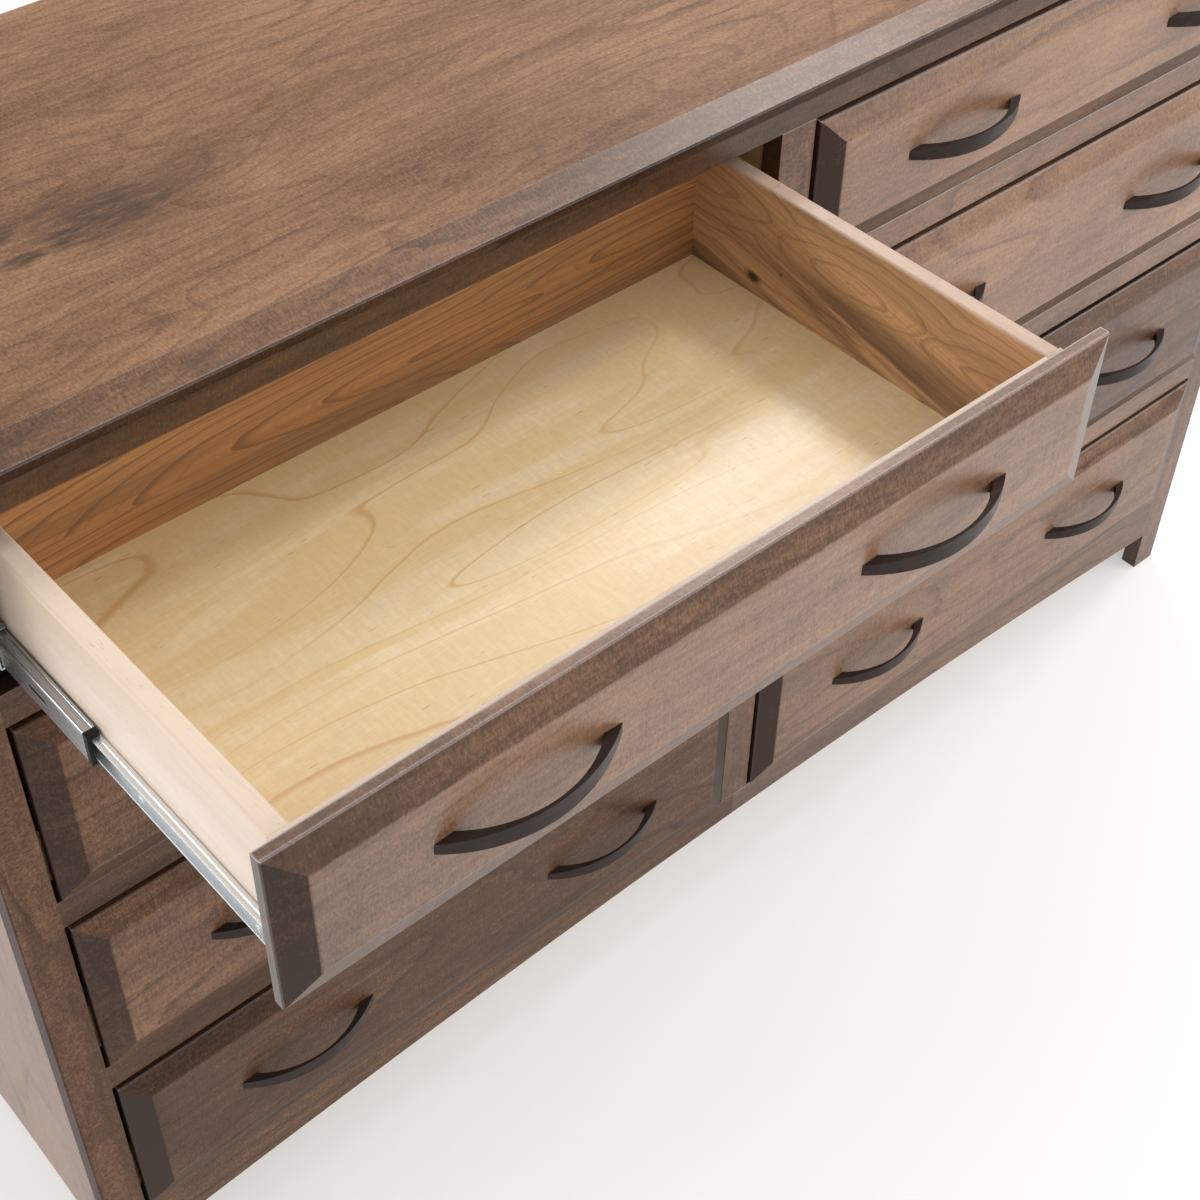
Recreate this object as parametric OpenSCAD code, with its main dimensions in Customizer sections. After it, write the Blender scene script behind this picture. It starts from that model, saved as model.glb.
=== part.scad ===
// Eight-drawer dresser: framed case, eight raised fronts, boxes on ball-bearing slides, bow pulls.
// Millimetres. X runs along the width, the fronts face -Y, Z is up and the floor is at zero.
// The origin lies on the floor, in the middle of the whole outline with the top left drawer open.

/* [Drawer fronts] */
// Width of every drawer front
front_w = 711; // [500:1:900]
// Height of the two fronts in the top row
top_front_h = 137; // [115:1:220]
// Height of the fronts in the three lower rows
low_front_h = 188; // [130:1:260]
// Thickness of a front at its rim
rim_t = 8.5; // [7:0.1:12]
// Thickness of a front at its raised field
field_t = 17.2; // [14:0.1:24]
// Width of the bevel between rim and field
bevel_w = 24; // [10:0.5:40]
// How far the rim of a closed front stands proud of the face frame
rim_proud = 3; // [0.5:0.1:5]
// Gap between a front and the face frame, all round
front_gap = 3.5; // [2:0.1:6]
// Width of the small chamfer along the outer edges of a front
front_ease = 0.8; // [0.3:0.1:1.5]
// How far the soft turn between bevel and field reaches to each side
field_soft = 2; // [0.5:0.5:6]

/* [Face frame] */
// Thickness of the stiles and rails
frame_t = 20; // [16:0.5:25]
// Width of each outer stile, which is also the front foot
stile_w = 36; // [28:1:60]
// Width of the stile between the two columns of drawers
centre_stile_w = 38; // [30:1:60]
// Height of the rails between the rows
rail_h = 30; // [20:1:50]
// Height of the rail under the top
top_rail_h = 26; // [15:1:50]
// Height of the arched bottom rail at its middle
apron_h = 32.5; // [30:0.5:60]
// How much higher the arch is at its middle than beside the feet
apron_rise = 29.5; // [5:0.5:45]
// Height of the feet below the bottom rail
foot_h = 55.5; // [30:0.5:120]
// Width of the small chamfer along the outer corners of the outer stiles
stile_ease = 1.2; // [0.3:0.1:2]

/* [Top] */
// Thickness of the top
top_t = 20.5; // [16:0.5:30]
// Height of the bevel along the top's front and ends
top_bevel_h = 10.5; // [2:0.5:14]
// Width of that bevel
top_bevel_w = 24; // [5:0.5:40]
// How far the top stands out over the face frame
top_over_front = 8; // [4:0.5:20]
// How far the top stands out over each side
top_over_side = 8; // [0:0.5:20]
// How far the top stands out behind the back
top_over_back = 5; // [0:0.5:15]
// Width of the small chamfers along the upright edge of the top
top_ease = 1; // [0.3:0.1:2]

/* [Case] */
// Depth of the case from the face frame to the back
case_d = 470; // [430:1:600]
// Thickness of the side panels
side_t = 16; // [14:0.5:22]
// Width of the side panel's feet, seen from the side
side_foot_w = 62; // [40:1:100]
// Rise of the arch along the foot of a side panel
side_rise = 18; // [4:0.5:30]
// Thickness of the partition behind the centre stile
partition_t = 16; // [12:0.5:25]
// Thickness of the bottom panel
bottom_t = 12; // [9:0.5:16]
// How far the bottom panel lies below the bottom rail's upper edge
bottom_drop = 6; // [4:0.5:10]
// Depth of the groove that takes the bottom panel in each side
dado_d = 6; // [4:0.5:8]
// Thickness of the back panel
back_t = 5; // [3:0.5:9]
// Width of the rebate that takes the back panel in each side
rebate_w = 9; // [5:0.5:11]

/* [Drawer boxes] */
// Thickness of the box boards
board_t = 16; // [13:0.5:18]
// Depth of a box, from the back of its front to the rear face
box_d = 386; // [370:1:410]
// How far the box stops below the upper edge of its front
box_drop = 18; // [10:0.5:30]
// How far the box starts above the lower edge of its front
box_lift = 4; // [2:0.5:10]
// Radius on the upper edges of the box's sides and back
board_round = 3; // [1:0.5:5]
// Thickness of the drawer bottom
ply_t = 6; // [4:0.5:8]
// Depth of the groove that takes the drawer bottom
groove_d = 6; // [4:0.5:8]
// Height of wood below that groove
groove_up = 7; // [5:0.5:10]

/* [Slides] */
// Width of a slide across its three nested members
slide_w = 12.7; // [12:0.1:14]
// Length of the case member and of the drawer member
slide_l = 350; // [330:1:360]
// Length of the middle member
middle_l = 295; // [280:1:310]
// Height of the case member
slide_h = 35; // [33:0.5:46]
// Thickness of the folded steel
steel_t = 1.2; // [1:0.1:1.5]
// Diameter of the balls that run between the members
ball_d = 3.2; // [3:0.1:3.6]
// Depth of the ball tracks in the flanges
track_d = 0.5; // [0.3:0.1:0.7]
// Play between two members
slide_play = 0.6; // [0.4:0.1:0.8]
// Height of the slides above the lower edge of a front
slide_up = 28.5; // [27:0.5:35]
// Gap between a slide and the back of its drawer front
slide_clear = 0.5; // [0.3:0.1:3]
// How far the middle member stops short of the case member's rear end
middle_stop = 3; // [1:0.5:10]
// How far the slide cleats stand out beside the stiles
cleat_proud = 10; // [8:0.5:14]
// Height of the slide cleats
cleat_h = 58; // [48:1:60]
// Length of the stop block at the front end of the middle member
stop_l = 26; // [15:1:40]
// How much of the stop block sticks out of the middle member
stop_out = 5; // [2:0.5:8]
// Length of the slot near the front end of the middle member
slot_l = 24; // [10:1:40]
// Width of that slot
slot_w = 4.5; // [3:0.5:8]
// Distance from the front end of the middle member to the slot
slot_in = 48; // [42:1:80]

/* [Pulls] */
// Length of a pull over its two feet
pull_l = 144.5; // [100:0.5:180]
// How far a pull stands out from the field of its front
pull_out = 24.5; // [20:0.5:35]
// Thickness of the bow at its middle
pull_t = 2.5; // [2:0.1:5]
// Length of each foot
pull_foot = 14.8; // [10:0.1:20]
// Height of the bow at its middle
pull_h = 15; // [10:0.5:25]
// Height of the bow at its ends
pull_end_h = 8.6; // [6:0.1:14]
// Width of the small chamfers along the bow's outer edges
pull_ease = 0.8; // [0.3:0.1:1.5]

/* [Motion] */
// How far the top left drawer stands open
open_d = 322; // [100:1:350]

/* [Hidden] */
COLUMNS = ["left", "right"];
ROWS = [1, 2, 3, 4];
DRAWERS = [for (column = COLUMNS, row = ROWS) [column, row]];
function drawer_names(kind) = [for (d = DRAWERS) str(kind, "_", d[0], "_", d[1])];
CASE_NODES = [
    "top", "outer_stiles", "centre_stile", "top_rail", "drawer_rails", "bottom_rail",
    "side_panels", "centre_partition", "bottom_panel", "back_panel",
    "slide_cleats", "case_slides"
];
$fn = 64;

// Widths
opening_w = front_w + 2 * front_gap;
case_w = 2 * stile_w + centre_stile_w + 2 * opening_w;
inner_w = case_w - 2 * side_t;
rail_span = case_w - 2 * stile_w;

// Heights
row_gap = rail_h + 2 * front_gap;
first_front_z = foot_h + apron_rise + apron_h + front_gap;
function front_h(row) = row == 1 ? top_front_h : low_front_h;
function front_z(row) = first_front_z + (4 - row) * (low_front_h + row_gap);
top_rail_z = front_z(1) + top_front_h + front_gap;
top_z = top_rail_z + top_rail_h;
bottom_z = first_front_z - front_gap - bottom_drop - bottom_t;

// Depths, measured from the front plane of the face frame and moved by origin_y at the end
front_back_y = rim_t - rim_proud;
field_y = front_back_y - field_t;
box_x = cleat_proud + slide_w - front_gap;
box_w = front_w - 2 * box_x;
slide_y = front_back_y + slide_clear;
middle_y = slide_y + slide_l - middle_stop - middle_l;
origin_y = (pull_out - field_y + open_d - case_d - top_over_back) / 2;
cleat_l = case_d - back_t - frame_t;
// The line of glue between two boards, which keeps them separate pieces
glue = 0.1;

// Slide sections, from the case (u = 0) to the drawer (u = slide_w)
case_flange_t = steel_t + track_d;
flange_gap = ball_d - 2 * track_d;
middle_h = slide_h - 2 * (case_flange_t + flange_gap);
middle_flange_t = steel_t + 2 * track_d;
drawer_h = middle_h - 2 * (middle_flange_t + flange_gap);
middle_u = steel_t + slide_play;
flange_end_u = slide_w - steel_t - slide_play;
stop_t = 1.6;
stop_fit = 0.4;
stop_seam = 0.1;
drawer_flange_u = middle_u + steel_t + stop_t + stop_fit;
ball_u = (drawer_flange_u + flange_end_u) / 2;
track_r = ball_d / 2 + 0.05;
outer_ball_v = slide_h / 2 - case_flange_t - flange_gap / 2;
inner_ball_v = drawer_h / 2 + flange_gap / 2;
slide_bend = 1.5;

// Places one drawer's frame: x from the front's left edge, y from the face frame, z from its lower edge
function front_x(column) =
    column == "left" ? -centre_stile_w / 2 - front_gap - front_w : centre_stile_w / 2 + front_gap;
function is_open(column, row) = column == "left" && row == 1;
function drawer_y(column, row) = is_open(column, row) ? -open_d : 0;

module in_opening(column, row) {
    translate([front_x(column), origin_y, front_z(row)]) children();
}

module on_drawer(column, row) {
    translate([0, drawer_y(column, row), 0]) in_opening(column, row) children();
}

module on_middle(column, row) {
    translate([0, drawer_y(column, row) / 2, 0]) in_opening(column, row) children();
}

// Sweeps a section drawn in (x, z) from y = 0 to y = length
module along_y(length) {
    translate([0, length, 0]) rotate([90, 0, 0]) linear_extrude(length) children();
}

// Sweeps a section drawn in (y, z) from x = 0 to x = length
module along_x(length) {
    rotate([90, 0, 90]) linear_extrude(length) children();
}

// A section's points at one end, followed by the same points mirrored at the other end of its span
function both_ends(edge, span) =
    concat(edge, [for (i = [len(edge) - 1:-1:0]) [span - edge[i][0], edge[i][1]]]);

// Draws the left half's piece again on the right
module on_both_sides() {
    children();
    mirror([1, 0, 0]) children();
}

// A rectangle from (0, 0) with all four corners rounded
module rounded_rect(w, h, r) {
    translate([r, 0]) square([w - 2 * r, h]);
    translate([0, r]) square([w, h - 2 * r]);
    for (x = [r, w - r], y = [r, h - r]) translate([x, y]) circle(r);
}

// Case

module top() {
    w = case_w + 2 * top_over_side;
    d = top_over_front + case_d + top_over_back;
    // Half of the top's section, from the underside at its outer edge to the end of the bevel
    edge = [
        [top_ease, 0], [0, top_ease], [0, top_t - top_bevel_h - top_ease],
        [top_ease, top_t - top_bevel_h + top_ease * top_bevel_h / top_bevel_w], [top_bevel_w, top_t]
    ];
    color("#5d4638") translate([-w / 2, origin_y - top_over_front, top_z]) intersection() {
        along_y(d) polygon(both_ends(edge, w));
        along_x(w) polygon(concat(edge, [[d, top_t], [d, 0]]));
    }
}

module outer_stiles() {
    color("#6a5244") on_both_sides() translate([-case_w / 2, origin_y, 0]) linear_extrude(top_z)
        polygon([
            [stile_ease, 0], [stile_w, 0], [stile_w, frame_t], [0, frame_t], [0, stile_ease]
        ]);
}

module centre_stile() {
    z = first_front_z - front_gap;
    color("#6a5244") translate([-centre_stile_w / 2, origin_y, z])
        cube([centre_stile_w, frame_t, top_rail_z - z]);
}

module top_rail() {
    color("#6a5244") translate([-rail_span / 2, origin_y, top_rail_z])
        cube([rail_span, frame_t, top_rail_h]);
}

module drawer_rails() {
    color("#6a5244") for (column = COLUMNS, row = [2, 3, 4])
        in_opening(column, row) translate([-front_gap, 0, front_h(row) + front_gap])
            cube([opening_w, frame_t, rail_h]);
}

// The radius of the circle that rises this far over this span
function arc_r(span, rise) = (span * span / 4 + rise * rise) / (2 * rise);

// Points along such an arc, from its left end to its right end, for arcs of very large circles
function flat_arc(span, rise, steps) = let (r = arc_r(span, rise)) [
    for (i = [0:steps]) let (x = (i / steps - 0.5) * span) [x, sqrt(r * r - x * x) - r + rise]
];

module bottom_rail() {
    h = apron_rise + apron_h;
    color("#6a5244") translate([0, origin_y, foot_h]) along_y(frame_t)
        polygon(concat(flat_arc(rail_span, apron_rise, 48), [[rail_span / 2, h], [-rail_span / 2, h]]));
}

module side_panels() {
    d = case_d - frame_t;
    foot = side_foot_w - frame_t;
    span = d - foot - side_foot_w;
    r = arc_r(span, side_rise);
    color("#7a6255") on_both_sides() translate([-case_w / 2, origin_y + frame_t, 0])
        difference() {
            along_x(side_t) difference() {
                square([d, top_z]);
                intersection() {
                    translate([foot, -1]) square([span, foot_h + side_rise + 2]);
                    translate([foot + span / 2, foot_h + side_rise - r]) circle(r, $fn = 720);
                }
            }
            translate([side_t - dado_d, -1, bottom_z]) cube([dado_d + 1, d + 2, bottom_t]);
            translate([side_t - rebate_w, d - back_t, bottom_z]) cube([rebate_w + 1, back_t + 1, top_z]);
        }
}

module centre_partition() {
    z = bottom_z + bottom_t;
    color("#c9a77c") translate([-partition_t / 2, origin_y + frame_t, z])
        cube([partition_t, cleat_l, top_z - z]);
}

module bottom_panel() {
    w = inner_w + 2 * dado_d;
    color("#c9a77c") translate([-w / 2, origin_y + frame_t, bottom_z]) cube([w, cleat_l, bottom_t]);
}

module back_panel() {
    w = inner_w + 2 * rebate_w;
    color("#c9a77c") translate([-w / 2, origin_y + case_d - back_t, bottom_z])
        cube([w, back_t, top_z - bottom_z]);
}

// Cleats carry the slides: thick ones on the side panels, thinner ones on the partition
module slide_cleats() {
    outer_t = stile_w - side_t + cleat_proud;
    inner_t = (centre_stile_w - partition_t) / 2 + cleat_proud;
    color("#d8bf9c") on_both_sides() for (row = ROWS)
        translate([0, origin_y + frame_t, front_z(row) + slide_up - cleat_h / 2]) {
            translate([-case_w / 2 + side_t, 0, 0]) cube([outer_t, cleat_l, cleat_h]);
            translate([-partition_t / 2 - inner_t, 0, 0]) cube([inner_t, cleat_l, cleat_h]);
        }
}

// Slides

// Places what is drawn in (u, v) on a drawer's left slide, and its mirror image on the right one
module at_slides() {
    translate([box_x - slide_w, 0, slide_up]) children();
    translate([front_w - box_x + slide_w, 0, slide_up]) mirror([1, 0, 0]) children();
}

// A folded channel from u0 to u1, open towards the drawer
module channel_section(u0, u1, h, flange_t) {
    difference() {
        union() {
            translate([u0, -h / 2]) rounded_rect(u1 - u0, h, slide_bend);
            translate([u1 - slide_bend, -h / 2]) square([slide_bend, h]);
        }
        translate([u0 + steel_t, flange_t - h / 2]) square([u1 - u0, h - 2 * flange_t]);
    }
}

// The room that a row of balls takes above and below the middle of a slide
module ball_tracks(v) {
    for (side = [-1, 1]) translate([ball_u, side * v]) circle(track_r);
}

module case_section() {
    difference() {
        channel_section(0, flange_end_u, slide_h, case_flange_t);
        ball_tracks(outer_ball_v);
    }
}

module middle_section() {
    difference() {
        channel_section(middle_u, flange_end_u, middle_h, middle_flange_t);
        ball_tracks(outer_ball_v);
        ball_tracks(inner_ball_v);
    }
}

// The drawer member is the same channel turned round, with its web on the box
module drawer_section() {
    difference() {
        translate([slide_w, 0]) mirror([1, 0, 0])
            channel_section(0, slide_w - drawer_flange_u, drawer_h, case_flange_t);
        ball_tracks(inner_ball_v);
    }
}

module case_slides() {
    color("silver") for (d = DRAWERS) in_opening(d[0], d[1]) at_slides()
        translate([0, slide_y, 0]) along_y(slide_l) case_section();
}

// The plastic stop that closes the front end of the middle member round the drawer member
module stop_section(u0, h) {
    inner_u = middle_u + steel_t + stop_t;
    difference() {
        translate([u0, -h / 2]) square([flange_end_u - u0, h]);
        translate([inner_u, -drawer_h / 2 - stop_fit]) square([slide_w, drawer_h + 2 * stop_fit]);
    }
}

module middle_slides(column, row) {
    color("silver") on_middle(column, row) at_slides() translate([0, middle_y, 0]) {
        difference() {
            along_y(middle_l) middle_section();
            translate([middle_u - 1, slot_in, 0]) along_x(steel_t + 2) slot_section();
        }
        color("black") {
            translate([0, -stop_out, 0]) along_y(stop_out - stop_seam) stop_section(middle_u, middle_h);
            translate([0, -stop_out, 0]) along_y(stop_l)
                stop_section(middle_u + steel_t + stop_seam, middle_h - 2 * (middle_flange_t + stop_seam));
        }
    }
}

module slot_section() {
    square_l = slot_l - slot_w;
    translate([slot_w / 2, -slot_w / 2]) square([square_l, slot_w]);
    for (y = [slot_w / 2, slot_w / 2 + square_l]) translate([y, 0]) circle(slot_w / 2);
}

module drawer_slides(column, row) {
    color("silver") on_drawer(column, row) at_slides()
        translate([0, slide_y, 0]) along_y(slide_l) drawer_section();
}

// Drawers

// A raised front's section over its length or its height: rim, bevel, a soft turn and the field
function raised_section(span) = let (
    slope = atan((field_t - rim_t) / bevel_w),
    r = field_soft / tan(slope / 2),
    rim = [[0, 0], [0, front_ease - rim_t], [front_ease, -rim_t - front_ease * tan(slope)]],
    turn = [
        for (i = [4:-1:0]) let (a = slope * i / 4)
            [bevel_w + field_soft - r * sin(a), r * (1 - cos(a)) - field_t]
    ]
) both_ends(concat(rim, turn), span);

// The two sections cut each other, which mitres the bevels at the corners
module front(column, row) {
    h = front_h(row);
    color("#7b5f50") on_drawer(column, row) translate([0, front_back_y, 0]) intersection() {
        linear_extrude(h) polygon(raised_section(front_w));
        along_x(front_w) polygon([for (p = raised_section(h)) [p[1], p[0]]]);
    }
}

// A board's section, with its two upper edges rounded and the groove for the bottom on its inner face
module board_section(h) {
    difference() {
        union() {
            square([board_t, h - board_round]);
            translate([board_round, 0]) square([board_t - 2 * board_round, h]);
            for (x = [board_round, board_t - board_round]) translate([x, h - board_round]) circle(board_round);
        }
        translate([board_t - groove_d, groove_up]) square([groove_d + 1, ply_t]);
    }
}

module box_side(h) {
    translate([0, board_t + glue, 0]) along_y(box_d - board_t - glue) board_section(h);
}

module box(column, row) {
    h = front_h(row) - box_drop - box_lift;
    end = board_t - groove_d;
    color("#e3cfae") on_drawer(column, row) translate([box_x, front_back_y, box_lift]) {
        box_side(h);
        translate([box_w, 0, 0]) mirror([1, 0, 0]) box_side(h);
        difference() {
            cube([box_w, board_t, h]);
            translate([end, end, groove_up]) cube([box_w - 2 * end, groove_d + 1, ply_t]);
        }
        translate([board_t + glue, box_d, 0]) mirror([0, 1, 0])
            along_x(box_w - 2 * (board_t + glue)) board_section(h);
    }
}

module box_bottom(column, row) {
    end = board_t - groove_d;
    color("#e8d8b0") on_drawer(column, row)
        translate([box_x + end, front_back_y + end, box_lift + groove_up])
            cube([box_w - 2 * end, box_d - 2 * end, ply_t]);
}

// A bow pull: a strap between two arcs in plan, lower at its ends than at its middle
module pull() {
    outer_r = arc_r(pull_l, pull_out);
    inner_rise = pull_out - pull_t;
    inner_r = arc_r(pull_l - 2 * pull_foot, inner_rise);
    steps = 24;
    edge = [for (p = flat_arc(pull_l, (pull_h - pull_end_h) / 2, steps)) [p[0], p[1] + pull_end_h / 2]];
    face = flat_arc(pull_l, pull_out, steps);
    // Seen at 45 degrees from the side, the chamfer's plane is a line for each point of the bow
    chamfer = [for (i = [0:steps]) [edge[i][0], (edge[i][1] + face[i][1] - pull_ease) * cos(45)]];
    intersection() {
        translate([0, 0, -pull_h / 2]) linear_extrude(pull_h) difference() {
            intersection() {
                translate([0, outer_r - pull_out]) circle(outer_r, $fn = 360);
                translate([-pull_l, -2 * pull_out]) square([2 * pull_l, 2 * pull_out]);
            }
            translate([0, inner_r - inner_rise]) circle(inner_r, $fn = 360);
        }
        translate([0, -2 * pull_out, 0]) along_y(3 * pull_out)
            polygon(concat(edge, [for (p = edge) [-p[0], -p[1]]]));
        for (side = [0, 1]) mirror([0, 0, side]) rotate([45, 0, 0]) translate([0, -2 * pull_out, 0])
            along_y(4 * pull_out)
                polygon(concat(chamfer, [[pull_l / 2, -2 * pull_out], [-pull_l / 2, -2 * pull_out]]));
    }
}

module pulls(column, row) {
    color("#3a2f2b") on_drawer(column, row) for (x = [front_w / 4, 3 * front_w / 4])
        translate([x, field_y, front_h(row) / 2]) pull();
}

top();
outer_stiles();
centre_stile();
top_rail();
drawer_rails();
bottom_rail();
side_panels();
centre_partition();
bottom_panel();
back_panel();
slide_cleats();
case_slides();
for (d = DRAWERS) {
    front(d[0], d[1]);
    box(d[0], d[1]);
    box_bottom(d[0], d[1]);
    pulls(d[0], d[1]);
    drawer_slides(d[0], d[1]);
    middle_slides(d[0], d[1]);
}
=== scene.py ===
import math

import bpy
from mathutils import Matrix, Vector


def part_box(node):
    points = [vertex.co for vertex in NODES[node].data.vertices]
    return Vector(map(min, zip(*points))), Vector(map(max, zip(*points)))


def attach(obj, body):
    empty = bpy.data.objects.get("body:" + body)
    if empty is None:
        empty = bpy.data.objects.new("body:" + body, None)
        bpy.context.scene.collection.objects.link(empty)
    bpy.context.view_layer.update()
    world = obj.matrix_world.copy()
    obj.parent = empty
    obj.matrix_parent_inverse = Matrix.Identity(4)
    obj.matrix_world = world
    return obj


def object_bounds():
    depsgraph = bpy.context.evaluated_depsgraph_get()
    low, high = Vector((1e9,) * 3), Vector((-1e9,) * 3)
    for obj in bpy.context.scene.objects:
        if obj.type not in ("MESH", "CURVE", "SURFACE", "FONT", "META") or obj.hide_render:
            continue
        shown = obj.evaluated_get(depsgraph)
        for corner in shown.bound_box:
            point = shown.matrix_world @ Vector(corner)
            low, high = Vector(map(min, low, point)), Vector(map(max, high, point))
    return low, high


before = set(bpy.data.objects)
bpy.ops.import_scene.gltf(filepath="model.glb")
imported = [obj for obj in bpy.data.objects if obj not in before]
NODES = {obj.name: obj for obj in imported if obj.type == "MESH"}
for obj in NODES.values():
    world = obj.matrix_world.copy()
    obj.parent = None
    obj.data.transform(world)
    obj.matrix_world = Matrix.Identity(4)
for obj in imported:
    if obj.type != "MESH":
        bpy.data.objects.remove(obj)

# Sizes are in metres, in the frame's axes: X to the right, Y to the back, Z up
CAD_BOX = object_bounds()
DRAWERS = ["%s_%d" % (column, row) for column in ("left", "right") for row in (1, 2, 3, 4)]
BOARD = 0.016
STEEL = 0.0012
# A margin past a board's face, so that the face itself counts as the board
HAIR = 0.0005

# Screws: half the way between those of one pull, the pulls' places as shares of a front's width, the slide
# screws' distances from its front end, and the radius and height of the two kinds of head
PULL_SCREW = 0.064
PULL_PLACES = (0.25, 0.75)
SLIDE_SCREWS = (0.038, 0.166, 0.294)
PULL_HEAD = (0.0045, 0.0022)
SLIDE_HEAD = (0.0036, 0.0016)
HEAD_RINGS = 14
HEAD_SPOKES = 48
# The cross in a screw's head: an arm's half width and reach as shares of the radius, and its depth as a share
# of the height
CROSS_WIDTH = 0.17
CROSS_REACH = 0.55
CROSS_DEPTH = 0.55

# The plastic stop of a middle member: how far its head and its tongue reach back, and the tongue's clearance
# above and below
STOP_HEAD = 0.0049
STOP_TONGUE = 0.026
STOP_CLEAR = 0.00225

# Camera, as fitted to the photo's corners and edges
CAMERA_AT = (-1.0274, -0.9680, 1.7545)
CAMERA_TURN = (45.347, -0.922, -41.339)
CAMERA_LENS = 58.85
SENSOR = 36.0
CLIP_START = 0.05

# Floor and lights: two small boxes high on the right, and large ones low on the right, in front and on the
# left
FLOOR_SIZE = 14.0
FLOOR_COLOUR = (0.94, 0.935, 0.93)
FLOOR_Z = CAD_BOX[0].z
FLOOR_WHITE = 0.38
WORLD_COLOUR = (0.98, 0.985, 1.0)
WORLD_LEVEL = 0.82
LIGHT_TARGET = Vector((-0.1, -0.2, 0.8))
KEY = {"towards": (0.62, 0.04, 0.78), "distance": 3.2, "size": (0.5, 0.5), "power": 27.0}
BACK = {"towards": (0.52, 0.53, 0.66), "distance": 3.2, "size": (0.6, 0.6), "power": 16.0}
FILL = {"towards": (0.84, -0.46, 0.30), "distance": 2.5, "size": (1.6, 1.2), "power": 21.0}
FRONT = {"towards": (0.15, -0.76, 0.62), "distance": 3.2, "size": (1.6, 1.6), "power": 12.0}
SIDE = {"towards": (-0.80, 0.50, 0.34), "distance": 3.0, "size": (1.3, 1.3), "power": 22.0}


def make_camera():
    """A camera at the photo's place, turn and lens."""
    data = bpy.data.cameras.new("camera")
    data.sensor_width = SENSOR
    data.lens = CAMERA_LENS
    data.clip_start = CLIP_START
    camera = bpy.data.objects.new("camera", data)
    camera.location = CAMERA_AT
    camera.rotation_euler = [math.radians(a) for a in CAMERA_TURN]
    bpy.context.scene.collection.objects.link(camera)
    bpy.context.scene.camera = camera


def area_light(name, towards, distance, size, power):
    """A soft box that stands in one direction from the dresser and faces it."""
    data = bpy.data.lights.new(name, "AREA")
    data.shape = "RECTANGLE"
    data.size, data.size_y = size
    data.energy = power
    light = bpy.data.objects.new(name, data)
    direction = Vector(towards).normalized()
    light.location = LIGHT_TARGET + direction * distance
    light.rotation_euler = (-direction).to_track_quat("-Z", "Y").to_euler()
    bpy.context.scene.collection.objects.link(light)


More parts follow.
